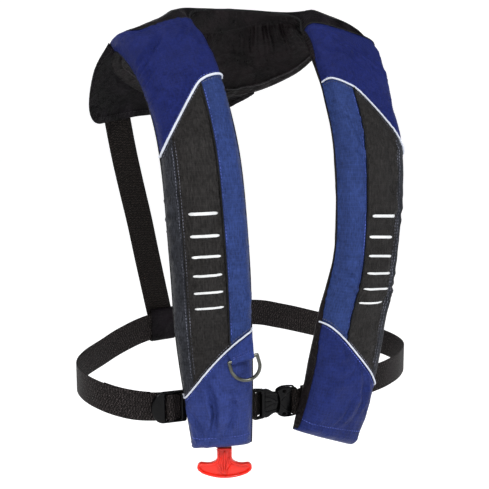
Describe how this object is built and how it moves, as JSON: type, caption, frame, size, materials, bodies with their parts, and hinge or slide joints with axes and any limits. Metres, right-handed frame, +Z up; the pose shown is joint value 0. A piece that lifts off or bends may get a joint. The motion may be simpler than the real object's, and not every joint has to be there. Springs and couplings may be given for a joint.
{
  "type": "inflatable life jacket",
  "caption": "Horseshoe inflatable life jacket with shoulder lobes, padded collar, waist belt with buckle, back strap, towing ring and a T-shaped pull handle.",
  "frame": {"origin": "middle of the neck opening, level with the tops of the shoulders", "axes": "+X to the wearer's left, -Y to the wearer's front, +Z up"},
  "size_m": [0.482, 0.307, 0.5998],
  "materials": {
    "blue_fabric": "ripstop nylon",
    "light_blue_fabric": "ripstop nylon",
    "black_panel_fabric": "ripstop nylon",
    "side_fabric": "ripstop nylon",
    "lining_fabric": "satin lining",
    "collar_fabric": "smooth nylon",
    "reflective_piping": "reflective tape over cord",
    "black_piping": "woven cord",
    "bladder_fabric": "urethane-coated nylon",
    "black_plastic": "moulded acetal",
    "zinc_steel": "zinc plated",
    "spring_steel": "drawn wire",
    "yellow_plastic": "moulded",
    "white_plastic": "moulded",
    "green_window": "clear moulded",
    "orange_plastic": "moulded",
    "red_plastic": "moulded",
    "red_cord": "braided",
    "webbing": "woven polyester",
    "ring_steel": "dark coated steel"
  },
  "bodies": {
    "jacket": {"right_shoulder_panel": "blue_fabric", "right_inner_panel": "light_blue_fabric", "right_outer_panel": "black_panel_fabric", "right_side_panel": "side_fabric", "right_lower_panel": "blue_fabric", "right_lining": "lining_fabric", "right_upper_piping": "reflective_piping", "right_lower_piping": "reflective_piping", "right_seam_piping": "black_piping", "left_shoulder_panel": "blue_fabric", "left_inner_panel": "light_blue_fabric", "left_outer_panel": "black_panel_fabric", "left_side_panel": "side_fabric", "left_lower_panel": "blue_fabric", "left_lining": "lining_fabric", "left_upper_piping": "reflective_piping", "left_lower_piping": "reflective_piping", "left_seam_piping": "black_piping", "collar_cover": "collar_fabric", "collar_lining": "lining_fabric", "back_yoke": "collar_fabric", "bladder": "bladder_fabric", "manifold": "black_plastic", "manifold_nut": "zinc_steel", "inflator_body": "black_plastic", "bobbin_cap": "yellow_plastic", "bobbin": "white_plastic", "drive_spring": "spring_steel", "lever_pin": "zinc_steel", "status_window": "green_window", "gas_cylinder": "zinc_steel", "oral_tube": "black_plastic", "valve_body": "red_plastic", "valve_spring": "spring_steel", "waist_belt": "webbing", "belt_front_strap": "webbing", "belt_left_end": "webbing", "right_belt_keeper": "webbing", "left_belt_keeper": "webbing", "buckle_male": "black_plastic", "buckle_arms": "black_plastic", "back_strap": "webbing", "strap_loop": "webbing", "d_ring_tab": "blue_fabric"},
    "handle": {"pull_handle": "red_plastic", "pull_lanyard": "red_cord"},
    "lever": {"inflator_lever": "orange_plastic"},
    "pin": {"piercing_pin": "zinc_steel"},
    "poppet": {"valve_poppet": "white_plastic"},
    "cap": {"dust_cap": "red_plastic"},
    "buckle": {"buckle_female": "black_plastic"},
    "ring": {"d_ring": "ring_steel"},
    "lock": {"ladder_lock": "black_plastic"}
  },
  "joints": [
    {"name": "handle_pull", "type": "slide", "parent": "jacket", "child": "handle", "axis": [0, 0, -1], "range_m": [0, 0.03], "deforming": ["pull_lanyard"]},
    {"name": "lever_turn", "type": "hinge", "parent": "jacket", "child": "lever", "pos_m": [-0.09903, -0.13428, -0.45], "axis": [0.3256, 0.9455, 0], "range_deg": [0, 79]},
    {"name": "pin_drive", "type": "slide", "parent": "jacket", "child": "pin", "axis": [0, 0, 1], "range_m": [0, 0.0031], "deforming": ["drive_spring"]},
    {"name": "valve_press", "type": "slide", "parent": "jacket", "child": "poppet", "axis": [-0.0854, -0.2011, -0.9758], "range_m": [0, 0.003], "stiffness_N_per_m": 300, "springref_m": -0.003, "deforming": ["valve_spring"]},
    {"name": "cap_pull", "type": "slide", "parent": "jacket", "child": "cap", "axis": [0.0854, 0.2011, 0.9758], "range_m": [0, 0.006]},
    {"name": "buckle_release", "type": "slide", "parent": "jacket", "child": "buckle", "axis": [1, 0, 0], "range_m": [0, 0.034], "deforming": ["buckle_arms", "belt_left_end"]},
    {"name": "ring_swing", "type": "hinge", "parent": "jacket", "child": "ring", "pos_m": [-0.0668, -0.157, -0.392], "axis": [0.9142, -0.2971, 0.2756], "range_deg": [-150, 0]},
    {"name": "lock_slide", "type": "slide", "parent": "jacket", "child": "lock", "axis": [1, 0, 0], "range_m": [-0.012, 0.01]}
  ],
  "couplings": [
    {"joint": "lever_turn", "follows": "handle_pull", "rad_per_m": 45.32},
    {"joint": "pin_drive", "follows": "handle_pull", "ratio": 0.1}
  ]
}
